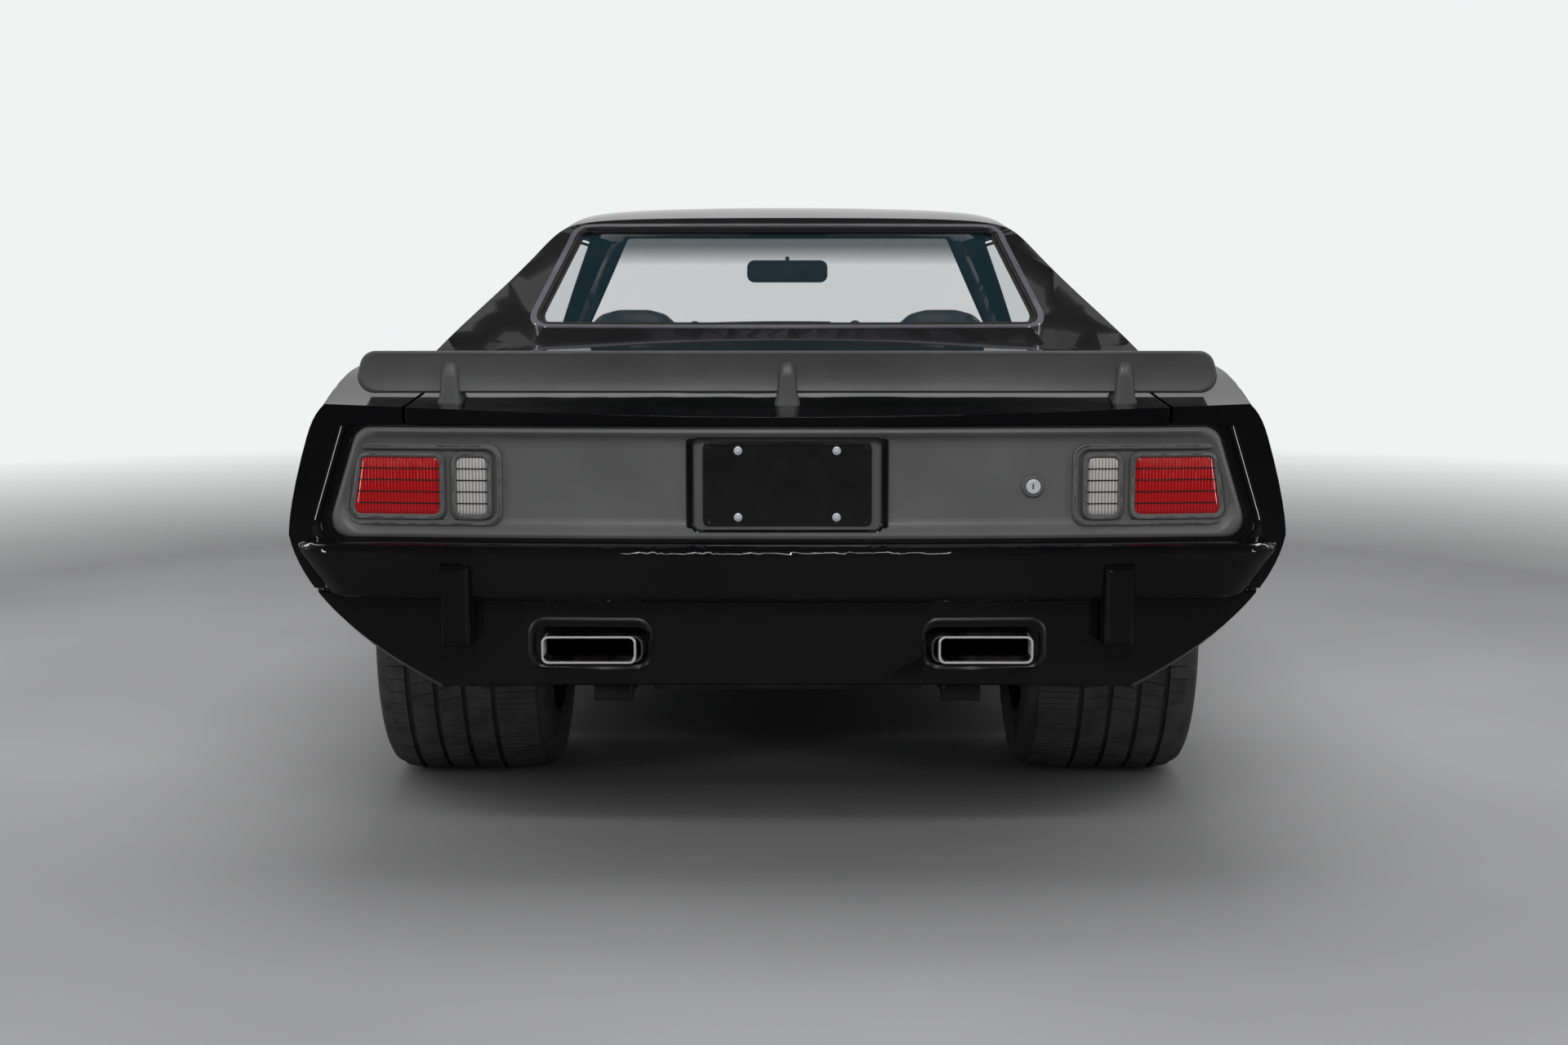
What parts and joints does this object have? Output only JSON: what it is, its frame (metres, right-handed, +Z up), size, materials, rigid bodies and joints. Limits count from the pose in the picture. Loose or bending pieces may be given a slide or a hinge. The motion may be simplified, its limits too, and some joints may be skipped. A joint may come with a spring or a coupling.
{
  "type": "muscle car",
  "caption": "Low two-door coupe with a long hood, short deck, rear wing, steered front wheels and opening doors, hood and trunk.",
  "frame": {"origin": "on the ground, midway between the sides and between the two bumpers", "axes": "+Y toward the tail, +X toward the car's left side, +Z up"},
  "size_m": [1.8988, 4.7368, 1.2829],
  "materials": {
    "black_gloss": "deep gloss black enamel",
    "satin_black": "satin black",
    "underbody": "matt black undercoat",
    "cast_iron": "bare cast metal",
    "engine_paint": "satin dark grey paint",
    "exhaust_steel": "brushed, heat-stained",
    "red_lens": "ribbed clear red plastic",
    "clear_lens": "ribbed clear",
    "plate_black": "gloss black, blank",
    "tinted_glass": "light green tint",
    "cabin_plastic": "grained black",
    "seat_vinyl": "black grained vinyl",
    "tyre": "moulded black rubber",
    "rim": "machined lip, dark centre"
  },
  "bodies": {
    "root": {"floor_pan": "underbody", "front_structure": "underbody", "trunk_floor": "underbody", "roof": "black_gloss", "quarter_left": "black_gloss", "quarter_right": "black_gloss", "fender_left": "black_gloss", "fender_right": "black_gloss", "nose_panel": "black_gloss", "cowl": "black_gloss", "deck_panel": "black_gloss", "tail_panel": "satin_black", "rear_valance": "black_gloss", "front_valance": "black_gloss", "rear_bumper": "black_gloss", "front_bumper": "black_gloss", "grille": "satin_black", "headlamps": "clear_lens", "tail_lamps": "red_lens", "reverse_lamps": "clear_lens", "lamp_bezels": "satin_black", "bare_plate": "plate_black", "windshield": "tinted_glass", "rear_window": "tinted_glass", "quarter_windows": "tinted_glass", "dashboard": "cabin_plastic", "front_seats": "seat_vinyl", "rear_seat": "seat_vinyl", "inside_mirror": "cabin_plastic", "engine": "engine_paint", "fuel_tank": "underbody", "exhaust": "exhaust_steel", "rear_axle": "underbody", "leaf_springs": "underbody", "front_suspension": "underbody"},
    "hood": {"hood": "black_gloss"},
    "trunk_lid": {"trunk_lid": "black_gloss", "rear_wing": "satin_black"},
    "door_left": {"door_left": "black_gloss", "door_glass_left": "tinted_glass"},
    "door_right": {"door_right": "black_gloss", "door_glass_right": "tinted_glass"},
    "knuckle_left": {"knuckle_left": "cast_iron"},
    "knuckle_right": {"knuckle_right": "cast_iron"},
    "steering_wheel": {"steering_wheel": "cabin_plastic"},
    "wheel_front_left": {"tyre_front_left": "tyre", "rim_front_left": "rim"},
    "wheel_front_right": {"tyre_front_right": "tyre", "rim_front_right": "rim"},
    "wheel_rear_left": {"tyre_rear_left": "tyre", "rim_rear_left": "rim"},
    "wheel_rear_right": {"tyre_rear_right": "tyre", "rim_rear_right": "rim"}
  },
  "joints": [
    {"name": "hood_hinge", "type": "hinge", "parent": "root", "child": "hood", "pos_m": [0, -0.955, 0.92327], "axis": [-1, 0, 0], "range_deg": [0, 50]},
    {"name": "trunk_hinge", "type": "hinge", "parent": "root", "child": "trunk_lid", "pos_m": [0, 1.243, 0.96612], "axis": [1, 0, 0], "range_deg": [0, 70]},
    {"name": "door_left_hinge", "type": "hinge", "parent": "root", "child": "door_left", "pos_m": [0.93676, -0.74, 0.5], "axis": [0, 0, -1], "range_deg": [0, 65]},
    {"name": "door_right_hinge", "type": "hinge", "parent": "root", "child": "door_right", "pos_m": [-0.93676, -0.74, 0.5], "axis": [0, 0, 1], "range_deg": [0, 65]},
    {"name": "steer_left", "type": "hinge", "parent": "root", "child": "knuckle_left", "pos_m": [0.738, -1.444, 0.328], "axis": [0, 0, 1], "range_deg": [-30, 30]},
    {"name": "steer_right", "type": "hinge", "parent": "root", "child": "knuckle_right", "pos_m": [-0.738, -1.444, 0.328], "axis": [0, 0, 1], "range_deg": [-30, 30]},
    {"name": "steering_wheel_turn", "type": "hinge", "parent": "root", "child": "steering_wheel", "pos_m": [0.4, -0.215, 0.77], "axis": [0, 0.9135, 0.4067], "range_deg": [-480, 480]},
    {"name": "wheel_front_left_spin", "type": "hinge", "parent": "knuckle_left", "child": "wheel_front_left", "pos_m": [0.765, -1.444, 0.328], "axis": [1, 0, 0], "continuous": true},
    {"name": "wheel_front_right_spin", "type": "hinge", "parent": "knuckle_right", "child": "wheel_front_right", "pos_m": [-0.765, -1.444, 0.328], "axis": [1, 0, 0], "continuous": true},
    {"name": "wheel_rear_left_spin", "type": "hinge", "parent": "root", "child": "wheel_rear_left", "pos_m": [0.692, 1.299, 0.349], "axis": [1, 0, 0], "continuous": true},
    {"name": "wheel_rear_right_spin", "type": "hinge", "parent": "root", "child": "wheel_rear_right", "pos_m": [-0.692, 1.299, 0.349], "axis": [1, 0, 0], "continuous": true}
  ],
  "couplings": [
    {"joint": "steer_right", "follows": "steer_left", "ratio": 1},
    {"joint": "steering_wheel_turn", "follows": "steer_left", "ratio": 16}
  ]
}
